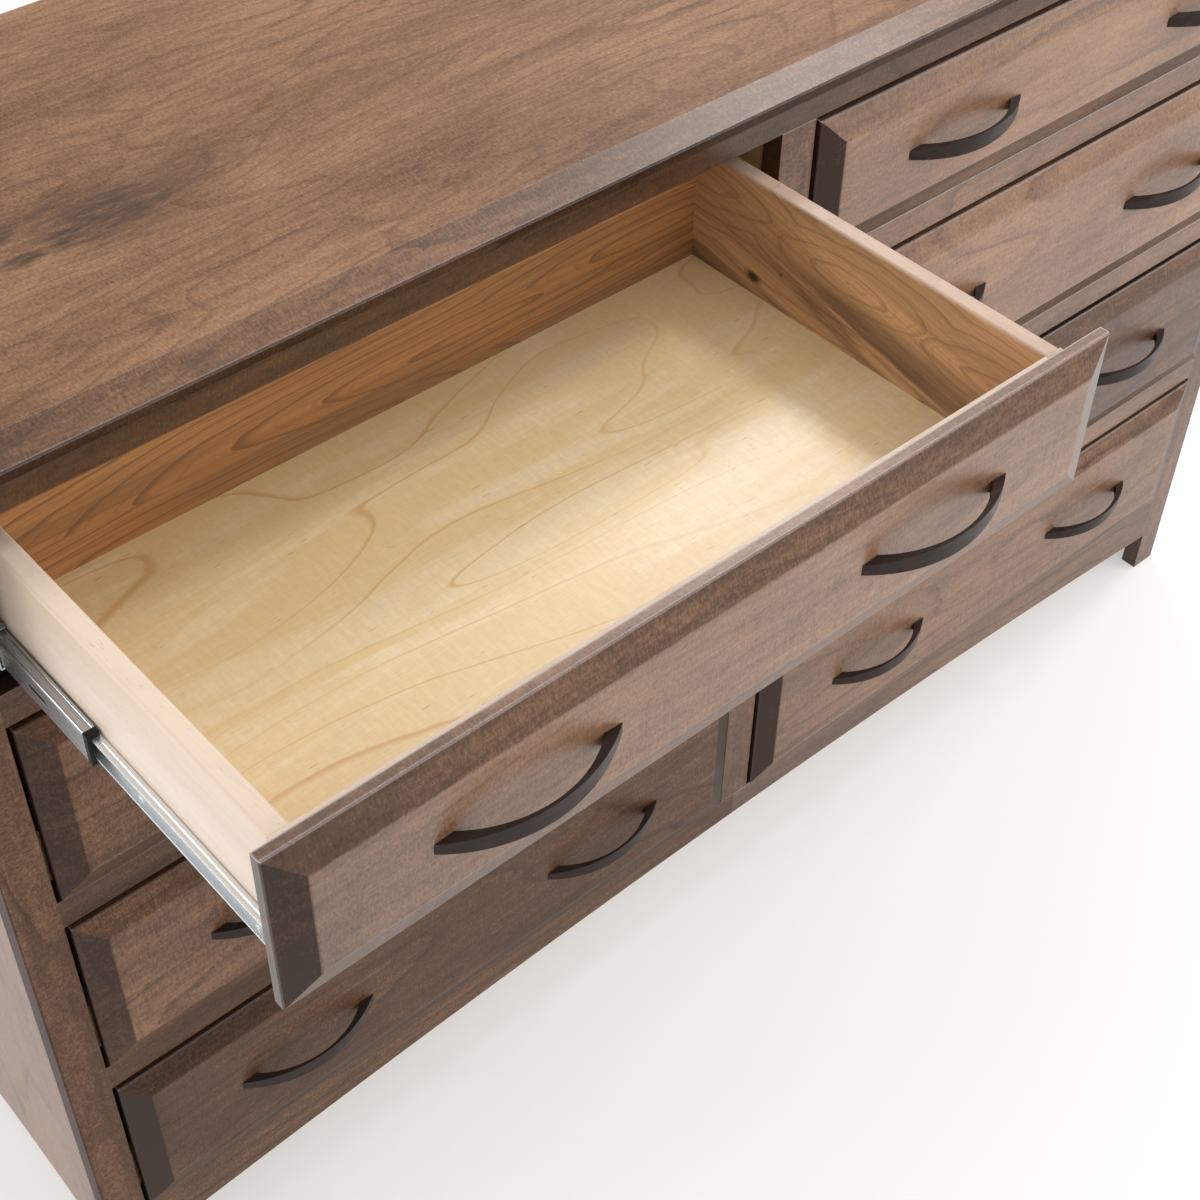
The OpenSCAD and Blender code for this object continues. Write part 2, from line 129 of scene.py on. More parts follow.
class Shader:
    """One material's node tree, with a short call for each kind of node that the finishes use."""

    def __init__(self, name):
        self.material = bpy.data.materials.new(name)
        self.material.use_nodes = True
        self.tree = self.material.node_tree
        self.tree.nodes.clear()
        self.surface = self.node("ShaderNodeBsdfPrincipled")
        self.output = self.node("ShaderNodeOutputMaterial")
        self.tree.links.new(self.surface.outputs["BSDF"], self.output.inputs["Surface"])

    def feed(self, socket, value):
        if isinstance(value, bpy.types.NodeSocket):
            self.tree.links.new(value, socket)
        else:
            socket.default_value = value

    def node(self, kind, inputs=(), **settings):
        made = self.tree.nodes.new(kind)
        for key, value in settings.items():
            setattr(made, key, value)
        for key, value in dict(inputs).items():
            self.feed(made.inputs[key], value)
        return made

    def finish(self, **values):
        """Sets the surface's own sockets, named with _ for a space."""
        for key, value in values.items():
            self.feed(self.surface.inputs[key.replace("_", " ")], value)

    def math(self, operation, a, b=0.0):
        return self.node("ShaderNodeMath", {0: a, 1: b}, operation=operation).outputs[0]

    def add(self, a, b):
        return self.math("ADD", a, b)

    def times(self, a, b):
        return self.math("MULTIPLY", a, b)

    def less(self, a, b):
        return self.math("LESS_THAN", a, b)

    def more(self, a, b):
        return self.math("GREATER_THAN", a, b)

    def swing(self, value, amount):
        """A noise from 0 to 1 as a swing either way of 0."""
        return self.times(self.add(value, -0.5), amount)

    def combine(self, x, y, z):
        return self.node("ShaderNodeCombineXYZ", {0: x, 1: y, 2: z}).outputs[0]

    def split(self, vector):
        return self.node("ShaderNodeSeparateXYZ", {0: vector}).outputs

    def place(self):
        """The point's X, Y and Z at rest, in metres."""
        return self.split(self.node("ShaderNodeTexCoord").outputs["Object"])

    def normal(self):
        """The direction that the surface faces."""
        return self.node("ShaderNodeNewGeometry").outputs["Normal"]

    def facing(self):
        """How far the surface faces along X, Y and Z, either way."""
        return [self.math("ABSOLUTE", part) for part in self.split(self.normal())]

    def noise(self, vector, detail=2.0, roughness=0.5, distortion=0.0):
        inputs = {"Vector": vector, "Scale": 1.0, "Detail": detail,
                  "Roughness": roughness, "Distortion": distortion}
        return self.node("ShaderNodeTexNoise", inputs).outputs[0]

    def grain(self, uvw, along, across, detail=2.0, roughness=0.5, distortion=0.0):
        """Noise with this many features a metre along and across the grain."""
        u, v, w = uvw
        point = self.combine(self.times(u, along), self.times(v, across), self.times(w, across))
        return self.noise(point, detail, roughness, distortion)

    def step(self, value, low, high, start=0.0, end=1.0):
        """A smooth step from start to end as the value goes from low to high."""
        inputs = {"Value": value, "From Min": low, "From Max": high, "To Min": start, "To Max": end}
        return self.node("ShaderNodeMapRange", inputs, interpolation_type="SMOOTHSTEP").outputs[0]

    def choose(self, factor, a, b):
        """The number a where the factor is 0 and b where it is 1."""
        made = self.node("ShaderNodeMix", data_type="FLOAT")
        for socket, value in zip((0, 2, 3), (factor, a, b)):
            self.feed(made.inputs[socket], value)
        return made.outputs[0]

    def mix(self, factor, a, b):
        """The colour a where the factor is 0 and b where it is 1."""
        made = self.node("ShaderNodeMix", data_type="RGBA")
        self.feed(made.inputs[0], factor)
        for socket, value in ((made.inputs[6], a), (made.inputs[7], b)):
            self.feed(socket, value if isinstance(value, bpy.types.NodeSocket) else (*value, 1.0))
        return made.outputs[2]

    def ramp(self, value, stops):
        """The colour that lies at this value between some stops, each a place and a colour."""
        made = self.node("ShaderNodeValToRGB", {0: value})
        elements = made.color_ramp.elements
        while len(elements) < len(stops):
            elements.new(0.5)
        for element, (place, colour) in zip(elements, stops):
            element.position = place
            element.color = (*colour, 1.0)
        return made.outputs[0]

    def eased(self, radius):
        """Normals that round the edges off by this radius."""
        return self.node("ShaderNodeBevel", {"Radius": radius}, samples=4).outputs[0]

    def relief(self, height, depth, normal=None):
        """Normals that show a height from 0 to 1 as so many metres."""
        inputs = {"Height": height, "Distance": depth}
        if normal:
            inputs["Normal"] = normal
        return self.node("ShaderNodeBump", inputs).outputs[0]


# The order of X, Y and Z along the grain, across it and into the board
GRAIN = {"x": (0, 2, 1), "y": (1, 2, 0), "z": (2, 0, 1), "flat": (0, 1, 2)}
# How far one step of the seed shifts the figure in these three directions
SEED_SHIFTS = (1.73, 0.37, 0.53)


def grain_frame(s, along, seed):
    """Along, across and into a board, each shifted by a seed so that no two boards are alike."""
    place = s.place()
    return [s.add(place[axis], seed * shift) for axis, shift in zip(GRAIN[along], SEED_SHIFTS)]


def contour_lines(s, swell, count, width):
    """Lines where a swell crosses each of so many levels, sharp on one side and fading on the other."""
    phase = s.math("FRACT", s.times(swell, count))
    return s.times(s.step(phase, 1.0 - width, 0.97), s.step(phase, 0.97, 1.0, 1.0, 0.0))


def by_side(s, value):
    """A number as it is, or a pair of numbers as one for the dresser's left half and one for its right."""
    if isinstance(value, tuple):
        return s.choose(s.more(s.place()[0], 0.0), *value)
    return value


def knots(s, uvw, places):
    """How dark the clouds round some knots are; each place is along, across, reach and strength."""
    u, v = uvw[:2]
    rough = s.swing(s.grain(uvw, 16.0, 75.0, detail=4.0, roughness=0.65, distortion=0.5), 2.0)
    dark = 0.0
    for along, across, reach, strength in places:
        du = s.times(s.add(u, -along), 1.0 / (1.8 * reach))
        dv = s.times(s.add(v, -across), 1.0 / reach)
        distance = s.add(s.math("SQRT", s.add(s.times(du, du), s.times(dv, dv))), rough)
        dark = s.math("MAXIMUM", s.step(distance, 0.2, 1.5, strength, 0.0), dark)
    return dark


def flow_lines(s, uvw, places):
    """Thin growth lines along the grain that part round the knots."""
    u, v = uvw[:2]
    field = s.add(s.times(v, 9.0), s.swing(s.grain(uvw, 2.2, 7.0, detail=2.0), 2.0))
    for along, across, reach, strength in places:
        du = s.times(s.add(u, -along), 0.22 / reach)
        dv = s.times(s.add(v, -across), 0.55 / reach)
        near = s.math("EXPONENT", s.times(s.add(s.times(du, du), s.times(dv, dv)), -1.0))
        field = s.add(field, s.times(near, 12.0 * reach * strength))
    return contour_lines(s, s.add(field, s.swing(s.grain(uvw, 30.0, 160.0), 0.05)), 7.0, 0.26)


# Brown stain on maple: how light the shade is at each of its tones, from the darkest to the lightest
STAIN = (
    (0.0, (0.032, 0.014, 0.007)),
    (0.34, (0.105, 0.050, 0.025)),
    (0.62, (0.245, 0.126, 0.066)),
    (1.0, (0.45, 0.255, 0.140)),
)
STAIN_MIDDLE = 0.56
KNOT_BROWN = (0.055, 0.029, 0.018)
# A pale lilac for the painted highlights on the arrises
PAINTED_ARRIS_HIGHLIGHT = (0.70, 0.62, 0.64)
# Tone of the bevels and of the cuts across the grain, the right bevel's share of the sheen, and the left
# bevel's own sheen
END_BEVEL_TONE = -0.36
END_GRAIN_TONE = -0.18
RIGHT_BEVEL_SHEEN = 0.85
LEFT_BEVEL_SHEEN = 0.22
# Reach of the eased edges, of the painted highlights on the arrises and of the painted shade at a board's
# left end
STAIN_EASE = 0.0008
ARRIS_REACH = 0.0022
LEFT_END_PAINTED_SHADE_REACH = 0.24
# Height of the fibres and of the lacquer's own unevenness
FIBRE_RELIEF = 0.00005
LACQUER_RELIEF = 0.000012


def stained(name, along, seed, tone=0.0, sheen=0.8, curl=1.0, edge=-0.34, lower=-0.15, upper=-0.15,
            left_bevel_painted_shade=END_BEVEL_TONE, tilt=0.0, cut_sheen=0.5, least_painted_highlight=0.0, left_end_painted_shade=0.0, left_end_painted_shade_from=0.0,
            knot_places=()):
    """Brown stained maple under satin lacquer: blotches, curl, fine fibres and faint growth lines.

    tone, edge, lower, upper and left_bevel_painted_shade say how much lighter or darker the
    board, its edges, its lower and upper bevels and its left bevel are: the edges' tone is painted shade, the
    bevels' tones are partly deeper stain and partly painted light and shade, and the left bevel's extra
    darkness is painted shade. sheen is the weight of the lacquer's gloss, cut_sheen the share of it on the
    bevels along the grain, and tilt how much more of it the upper bevel has. The arrises carry a painted
    highlight as bright as the sheen, or as least_painted_highlight where that is more. left_end_painted_shade
    is how much darker the board is at left_end_painted_shade_from along X, as painted shade (lighter where it
    is positive), and it fades from there to the right.
    """
    s = Shader(name)
    uvw = grain_frame(s, along, seed)
    cloud = s.grain(uvw, 3.0, 8.0, detail=3.0)
    mottle = s.grain(uvw, 20.0, 60.0, detail=5.0, roughness=0.7, distortion=0.4)
    ripple = s.grain(uvw, 260.0, 30.0, detail=2.0, distortion=0.5)
    speckle = s.grain(uvw, 640.0, 240.0, detail=2.0, roughness=0.7)
    curl_here = s.step(s.grain(uvw, 5.0, 9.0), 0.40, 0.62, 0.25 * curl, curl)
    fibre = s.grain(uvw, 110.0, 560.0, detail=4.0, roughness=0.8)
    streak = s.grain(uvw, 4.0, 110.0, detail=4.0, roughness=0.6, distortion=0.3)
    swell = s.add(s.grain(uvw, 1.3, 6.5, detail=1.0), s.swing(mottle, 0.03))
    lines = s.times(contour_lines(s, swell, 13.0, 0.22), s.step(cloud, 0.35, 0.65))
    shade = s.add(s.add(s.swing(cloud, 0.55), STAIN_MIDDLE), by_side(s, tone))
    shade = s.add(shade, s.swing(mottle, 0.38))
    shade = s.add(shade, s.times(s.swing(ripple, 0.34), curl_here))
    shade = s.add(shade, s.swing(speckle, 0.60))
    shade = s.add(shade, s.swing(fibre, 0.55))
    shade = s.add(shade, s.swing(streak, 0.35))
    shade = s.add(shade, s.times(lines, -0.16))
    # Painted shade: the board darkens towards its left end
    if left_end_painted_shade:
        shade = s.add(shade, s.step(s.place()[0], left_end_painted_shade_from, left_end_painted_shade_from + LEFT_END_PAINTED_SHADE_REACH, left_end_painted_shade, 0.0))
    # Where the cutter has shaped a bevel the stain has gone in deeper, most of all across the grain; the
    # bevels also carry painted light and shade
    faces = s.facing()
    front = faces[GRAIN[along][2]]
    end = faces[GRAIN[along][0]]
    cut = s.times(s.step(front, 0.5, 0.8), s.step(front, 0.955, 0.99, 1.0, 0.0))
    across_end = s.step(end, 0.1, 0.3)
    parts = s.split(s.normal())
    up = parts[GRAIN[along][1]]
    left = s.step(parts[GRAIN[along][0]], -0.3, -0.1, 1.0, 0.0)
    # Painted light and shade: bevels that face up and down take their own tones, and a left bevel a darker
    # one
    bevel_tone = s.choose(across_end, s.step(up, -0.2, 0.2, lower, upper), END_BEVEL_TONE)
    shade = s.add(shade, s.times(cut, s.choose(left, bevel_tone, left_bevel_painted_shade)))
    shade = s.add(shade, s.step(end, 0.5, 0.9, 0.0, END_GRAIN_TONE))
    # Painted shade: the edges off the board's face, seen mostly in the gaps and under the top, are darker
    shade = s.add(shade, s.step(front, 0.5, 0.8, edge, 0.0))
    colour = s.ramp(shade, STAIN)
    if knot_places:
        shifted = [(u + seed * SEED_SHIFTS[0], v + seed * SEED_SHIFTS[1], reach, strength)
                   for u, v, reach, strength in knot_places]
        flowing = s.times(flow_lines(s, uvw, shifted), s.step(mottle, 0.30, 0.60, 0.08, 0.40))
        colour = s.mix(flowing, colour, KNOT_BROWN)
        smoke = s.grain(uvw, 40.0, 170.0, detail=5.0, roughness=0.75, distortion=0.6)
        smoke = s.step(smoke, 0.35, 0.58, 0.55, 1.0)
        colour = s.mix(s.times(knots(s, uvw, shifted), smoke), colour, KNOT_BROWN)
    # Painted highlight: the arrises that face up are lightened as they catch the light, as bright as the
    # sheen
    edges = s.eased(STAIN_EASE)
    arris_normal = s.eased(ARRIS_REACH)
    bend = s.node("ShaderNodeVectorMath", {0: arris_normal, 1: s.normal()}, operation="DOT_PRODUCT")
    painted_highlight = s.step(bend.outputs["Value"], 0.88, 0.985, 1.0, 0.0)
    painted_highlight = s.times(painted_highlight, s.step(s.split(arris_normal)[2], 0.15, 0.5, 0.1, 0.95))
    sheen = by_side(s, sheen)
    painted_highlight = s.times(painted_highlight, s.math("MAXIMUM", sheen, least_painted_highlight))
    colour = s.mix(painted_highlight, colour, PAINTED_ARRIS_HIGHLIGHT)
    gloss = s.step(up, -0.2, 0.2, cut_sheen - tilt, cut_sheen + tilt)
    gloss = s.times(sheen, s.choose(cut, 1.0, s.choose(across_end, gloss, RIGHT_BEVEL_SHEEN)))
    # Less sheen on a left bevel stands in for the dimmer reflection on that side
    gloss = s.choose(s.times(cut, left), gloss, LEFT_BEVEL_SHEEN)
    s.finish(Base_Color=colour, Roughness=0.5, Specular_IOR_Level=0.1,
             Coat_Weight=gloss, Coat_Roughness=0.32, Coat_IOR=1.6,
             Normal=s.relief(fibre, FIBRE_RELIEF, edges),
             Coat_Normal=s.relief(speckle, LACQUER_RELIEF, edges))
    return s.material


def loops(s, u, v, places, rough):
    """Distance from the nearest of some long loops; each is a place along and across and two half sizes."""
    nearest = 9.0
    for along, across, reach, height in places:
        du = s.times(s.add(u, -along), 1.0 / reach)
        dv = s.times(s.add(v, -across), 1.0 / height)
        distance = s.math("SQRT", s.add(s.times(du, du), s.times(dv, dv)))
        nearest = s.math("MINIMUM", distance, nearest)
    return s.add(nearest, rough)


# Clear finished maple: the two ends of each board's tone, the warm ones partly painted shade, the upper edges
# on the left and on the right, paler as painted sheen, and the figure drawn on it
WARM = ((0.40, 0.185, 0.064), (0.56, 0.275, 0.105))
TAWNY = ((0.54, 0.285, 0.130), (0.68, 0.40, 0.200))
PALE = ((0.78, 0.60, 0.45), (0.88, 0.73, 0.60))
PAINTED_SHEEN_EDGES = ((0.74, 0.585, 0.455), (0.56, 0.400, 0.300))
HEARTWOOD = ((0.095, 0.052, 0.028), (0.25, 0.135, 0.065))
LINE_BROWN = (0.13, 0.052, 0.020)
THIN_BROWN = (0.16, 0.068, 0.027)
STREAK_BROWN = (0.19, 0.085, 0.036)
BAND_BROWN = (0.15, 0.085, 0.040)
PIN_BLACK = (0.012, 0.009, 0.008)
FLECK_BROWN = (0.30, 0.14, 0.065)
FIBRE_BROWN = (0.30, 0.16, 0.08)
# Where the loops of the figure lie, as shares of the box's width or depth and of its height
LOOPS_ACROSS = ((0.90, 0.0), (0.655, -0.08), (0.30, -0.42))
LOOPS_ALONG = ((0.52, 0.16), (0.93, 0.30), (0.12, 0.05))
# Small dark knots of the right side: shares of the depth and the height, reach and strength
PIN_KNOTS = ((0.775, 0.25, 0.0045, 1.0), (0.30, 0.10, 0.0030, 1.0), (0.70, 0.40, 0.0016, 0.9))


def clear_wood(name, box, seed):
    """Maple for a drawer box: a pale left side, warm boards across the box, partly painted shade, and a
    streaky right side.
    """
    s = Shader(name)
    low, high = box
    x, y, z = s.place()
    left = s.less(x, low.x + BOARD + HAIR)
    right = s.more(x, high.x - BOARD - HAIR)
    side = s.add(left, right)
    u = s.choose(side, x, y)
    # On the right side the grain falls towards the front
    rise = s.add(z, s.times(right, s.add(s.times(y, -0.22), 0.61 + seed)))
    uvw = (s.add(u, seed * 1.3), rise, s.add(s.choose(side, y, x), seed * 0.7))
    broad = s.grain(uvw, 1.6, 14.0, detail=3.0)
    mottle = s.grain(uvw, 9.0, 50.0, detail=4.0, roughness=0.6)
    fibre = s.grain(uvw, 40.0, 900.0, detail=3.0, roughness=0.7)
    streak = s.grain(uvw, 2.6, 330.0, detail=3.0, roughness=0.65, distortion=0.2)
    band = s.grain(uvw, 1.5, 26.0, detail=3.0, distortion=0.4)
    # Nested loops on the boards across the box, and on the right side
    middle = (low.z + high.z) / 2.0
    width, depth, height = high.x - low.x, high.y - low.y, high.z - low.z
    rough = s.add(s.swing(s.grain(uvw, 5.0, 22.0, detail=3.0), 0.9), s.swing(mottle, 0.10))
    across = [(low.x + width * share, middle + height * up, width * 0.24, height * 0.14)
              for share, up in LOOPS_ACROSS]
    along = [(low.y + depth * share, middle + height * up, depth * 0.22, height * 0.20)
             for share, up in LOOPS_ALONG]
    swell = s.choose(side, loops(s, u, z, across, rough), loops(s, u, z, along, rough))
    lines = contour_lines(s, swell, 2.2, 0.30)
    thin = contour_lines(s, s.add(swell, 0.21), 5.1, 0.30)
    shift = s.step(broad, 0.30, 0.70)
    colour = s.mix(left, s.mix(right, s.mix(shift, *WARM), s.mix(shift, *TAWNY)), s.mix(shift, *PALE))
    # Painted sheen: the upper and lower edges of the boards take a paler colour
    edge = s.step(s.facing()[2], 0.5, 0.8)
    colour = s.mix(edge, colour, s.mix(right, *PAINTED_SHEEN_EDGES))
    # How strong the figure is: full inside, less on the right side, faint on the edges and the left side
    plain = s.math("MAXIMUM", left, edge)
    figure = s.choose(plain, s.choose(right, 1.0, 0.6), s.choose(left, 0.16, 0.06))
    for mark, share, tone in ((lines, 0.70, LINE_BROWN), (thin, 0.30, THIN_BROWN),
                              (s.step(streak, 0.42, 0.66), 0.50, STREAK_BROWN),
                              (s.step(band, 0.52, 0.62), 0.40, BAND_BROWN)):
        colour = s.mix(s.times(mark, s.times(figure, share)), colour, tone)
    # Dark heartwood streaks in the lower half of the right side
    heart = s.grain(uvw, 2.6, 24.0, detail=4.0, roughness=0.60, distortion=0.6)
    level = s.add(z, s.swing(heart, 0.05))
    lower = s.step(level, middle - height * 0.05, middle + height * 0.16, 1.0, 0.25)
    dark = s.times(s.times(s.step(heart, 0.44, 0.56), lower), s.times(right, s.times(figure, 1.35)))
    colour = s.mix(dark, colour, s.mix(s.step(mottle, 0.35, 0.65), *HEARTWOOD))
    pins = [(low.y + depth * share, low.z + height * up, reach, strength)
            for share, up, reach, strength in PIN_KNOTS]
    colour = s.mix(s.times(knots(s, (u, z, x), pins), right), colour, PIN_BLACK)
    fleck = s.grain(uvw, 130.0, 700.0, detail=1.0)
    colour = s.mix(s.step(fleck, 0.70, 0.80, 0.0, 0.40), colour, FLECK_BROWN)
    hairs = s.times(s.step(fibre, 0.25, 0.75, 0.14, 0.0), s.choose(left, 1.0, 0.4))
    colour = s.mix(hairs, colour, FIBRE_BROWN)
    s.finish(Base_Color=colour, Roughness=0.5, Specular_IOR_Level=0.3, Coat_Weight=0.4, Coat_Roughness=0.32,
             Normal=s.relief(fibre, 0.00006, s.eased(0.0008)))
    return s.material


# Birch ply: its ground, its pale painted sheen, and the browns of its curl, growth lines, fibres and dashes
PLY_GROUND = ((0.79, 0.57, 0.275), (0.87, 0.67, 0.370))
PLY_PAINTED_SHEEN = (0.93, 0.81, 0.58)
PLY_CURL = (0.60, 0.40, 0.19)
PLY_LINE = (0.64, 0.36, 0.12)
PLY_FIBRE = (0.56, 0.38, 0.20)
PLY_DASH = (0.36, 0.19, 0.07)


def ply(name, seed):
    """Rotary cut birch ply, whose figure is the contour lines of a slow swell."""
    s = Shader(name)
    uvw = grain_frame(s, "flat", seed)
    mottle = s.grain(uvw, 12.0, 30.0, detail=3.0)
    swell = s.grain(uvw, 1.7, 5.6, detail=1.5, distortion=0.5)
    swell = s.add(swell, s.swing(mottle, 0.012))
    here = s.step(s.grain(uvw, 2.0, 4.0), 0.28, 0.55)
    lines = s.times(contour_lines(s, swell, 11.0, 0.09), here)
    cloud = s.grain(uvw, 1.6, 9.0, detail=2.0)
    gloss = s.grain(uvw, 4.0, 34.0, detail=5.0, roughness=0.62, distortion=1.1)
    gloss = s.step(s.add(gloss, s.swing(swell, 0.35)), 0.46, 0.66)
    curl = s.grain(uvw, 240.0, 60.0, detail=2.0, distortion=0.4)
    fibre = s.grain(uvw, 90.0, 620.0, detail=3.0, roughness=0.7)
    dashes = s.step(s.grain(uvw, 70.0, 620.0, detail=0.0), 0.80, 0.86)
    colour = s.mix(s.step(cloud, 0.25, 0.75), *PLY_GROUND)
    # Painted sheen: pale streaks laid into the ply's colour
    colour = s.mix(s.times(gloss, 0.45), colour, PLY_PAINTED_SHEEN)
    colour = s.mix(s.step(curl, 0.30, 0.75, 0.20, 0.0), colour, PLY_CURL)
    colour = s.mix(s.times(lines, 0.80), colour, PLY_LINE)
    colour = s.mix(s.step(fibre, 0.35, 0.75, 0.20, 0.0), colour, PLY_FIBRE)
    colour = s.mix(s.times(dashes, 0.6), colour, PLY_DASH)
    s.finish(Base_Color=colour, Roughness=0.5, Specular_IOR_Level=0.3, Coat_Weight=0.9, Coat_IOR=1.5,
             Coat_Roughness=0.33, Normal=s.relief(fibre, 0.00004))
    return s.material


# Slides: the two ends of the zinc's tone and of the plastic's, how bright the drawer members are, how bright
# the case and middle members are, darker as painted shade of their dim reflections, and how metallic all
# three
ZINC = ((0.72, 0.76, 0.78), (0.94, 0.95, 0.95))
PLASTIC = ((0.010, 0.010, 0.011), (0.022, 0.022, 0.023))
BRIGHT = 0.90
PAINTED_SHADE_LEVEL = 0.55
METAL = 0.8


def steel(name, bright, stop=None):
    """Zinc plated steel with fine lines along the slide; stop is the box of a middle member with a stop."""
    s = Shader(name)
    uvw = grain_frame(s, "y", 0.0)
    lines = s.grain(uvw, 3.0, 700.0, detail=2.0)
    cloud = s.grain(uvw, 9.0, 160.0, detail=3.0)
    colour = s.mix(cloud, *[[bright * c for c in tone] for tone in ZINC])
    rough = s.step(lines, 0.3, 0.7, 0.25, 0.29)
    metal = METAL
    if stop:
        x, y, z = s.place()
        low, high = stop
        half = (high.z - low.z) / 2.0 - STOP_CLEAR
        web = s.math("MINIMUM", s.add(x, -low.x), s.add(s.times(x, -1.0), high.x))
        level = s.math("ABSOLUTE", s.add(z, -(low.z + high.z) / 2.0))
        head = s.less(y, low.y + STOP_HEAD)
        inside = s.times(s.more(web, STEEL + 0.00005), s.less(level, half))
        black = s.math("MAXIMUM", head, s.times(s.less(y, low.y + STOP_TONGUE), inside))
        grit = s.grain(uvw, 900.0, 900.0)
        colour = s.mix(black, colour, s.mix(grit, *PLASTIC))
        rough = s.choose(black, rough, 0.42)
        metal = s.choose(black, metal, 0.0)
    s.finish(Base_Color=colour, Metallic=metal, Roughness=rough, Specular_IOR_Level=0.1,
             Normal=s.relief(lines, 0.000002, s.eased(0.0003)))
    return s.material


# Bronze of the pulls: the two ends of its tone, and where hands have rubbed it
BRONZE = ((0.020, 0.013, 0.011), (0.040, 0.027, 0.022))
RUBBED = (0.085, 0.052, 0.038)


def bronze(name):
    """Dark satin bronze for the pulls."""
    s = Shader(name)
    uvw = grain_frame(s, "x", 0.0)
    cloud = s.grain(uvw, 70.0, 120.0, detail=4.0)
    grit = s.grain(uvw, 2400.0, 2400.0, detail=1.0)
    rub = s.step(s.grain(uvw, 30.0, 200.0, detail=3.0), 0.45, 0.75)
    colour = s.mix(cloud, *BRONZE)
    colour = s.mix(s.times(rub, 0.25), colour, RUBBED)
    s.finish(Base_Color=colour, Metallic=0.35, Roughness=s.step(cloud, 0.3, 0.7, 0.36, 0.46),
             Specular_IOR_Level=0.12, Coat_Weight=0.05, Coat_Roughness=0.20,
             Normal=s.relief(grit, 0.00002, s.eased(0.0006)))
    return s.material


def paint(node, material):
    """Gives a CAD node its finish."""
    for slot in NODES[node].material_slots:
        slot.material = material


def mesh_piece(name, parts, body, material):
    """One piece that rides on a body, made of several parts, each with its points and faces."""
    points, faces = [], []
    for part_points, part_faces in parts:
        faces += [[index + len(points) for index in face] for face in part_faces]
        points += part_points
    mesh = bpy.data.meshes.new(name)
    mesh.from_pydata(points, [], faces)
    mesh.update()
    mesh.polygons.foreach_set("use_smooth", [True] * len(mesh.polygons))
    mesh.set_sharp_from_angle(angle=math.radians(35.0))
    mesh.materials.append(material)
    piece = bpy.data.objects.new(name, mesh)
    bpy.context.scene.collection.objects.link(piece)
    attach(piece, body)


def screw_head(at, towards, radius, height):
    """A domed head with a cross recess, on a polar grid, that sits at a point and faces one way."""
    rings, spokes = HEAD_RINGS, HEAD_SPOKES
    out = Vector(towards)
    side = out.orthogonal().normalized()
    up = out.cross(side)
    points = []
    for ring in range(rings + 1):
        r = radius * ring / rings
        for spoke in range(spokes):
            angle = 2.0 * math.pi * spoke / spokes
            x, y = r * math.cos(angle), r * math.sin(angle)
            level = height * (1.0 - 0.5 * (r / radius) ** 2)
            from_arm = min(abs(x), abs(y)) / (CROSS_WIDTH * radius)
            along_arm = max(abs(x), abs(y)) / (CROSS_REACH * radius)
            sunk = max(0.0, min(1.0, 1.6 - from_arm)) * max(0.0, min(1.0, 4.0 - 4.0 * along_arm))
            points.append(Vector(at) + side * x + up * y + out * (level - CROSS_DEPTH * height * sunk))
    points += [Vector(at) + side * radius * math.cos(a) + up * radius * math.sin(a)
               for a in (2.0 * math.pi * spoke / spokes for spoke in range(spokes))]
    faces = []
    for ring in range(rings + 1):
        for spoke in range(spokes):
            a, b = ring * spokes + spoke, ring * spokes + (spoke + 1) % spokes
            faces.append([a, a + spokes, b + spokes, b])
    faces.append([(rings + 1) * spokes + spoke for spoke in range(spokes - 1, -1, -1)])
    return [tuple(p) for p in points], faces


def looked_at(tree):
    """1 for the camera's rays and those that a reflection or glass sends on, 0 for other light."""
    path = tree.nodes.new("ShaderNodeLightPath")
    seen = path.outputs["Is Camera Ray"]
    for kind in ("Is Glossy Ray", "Is Transmission Ray"):
        either = tree.nodes.new("ShaderNodeMath")
        either.operation = "MAXIMUM"
        tree.links.new(seen, either.inputs[0])
        tree.links.new(path.outputs[kind], either.inputs[1])
        seen = either.outputs[0]
    return seen


def make_floor():
    """A wide pale floor, white to the camera and in reflections, which keeps the dresser's shadow."""
    half = FLOOR_SIZE / 2.0
    mesh = bpy.data.meshes.new("floor")
    corners = [(x, y, FLOOR_Z) for x, y in ((-half, -half), (half, -half), (half, half), (-half, half))]
    mesh.from_pydata(corners, [], [(0, 1, 2, 3)])
    floor = bpy.data.objects.new("floor", mesh)
    bpy.context.scene.collection.objects.link(floor)
    s = Shader("floor")
    x, y, z = s.place()
    haze = s.noise(s.combine(s.times(x, 1.5), s.times(y, 1.5), z))
    s.finish(Base_Color=s.mix(haze, FLOOR_COLOUR, [c * 0.985 for c in FLOOR_COLOUR]), Roughness=0.7)
    glow = s.node("ShaderNodeEmission", {"Color": (1.0, 1.0, 1.0, 1.0), "Strength": 1.0})
    blend = s.node("ShaderNodeMixShader", {0: s.times(looked_at(s.tree), FLOOR_WHITE)})
    s.tree.links.new(s.surface.outputs[0], blend.inputs[1])
    s.tree.links.new(glow.outputs[0], blend.inputs[2])
    s.tree.links.new(blend.outputs[0], s.output.inputs["Surface"])
    mesh.materials.append(s.material)


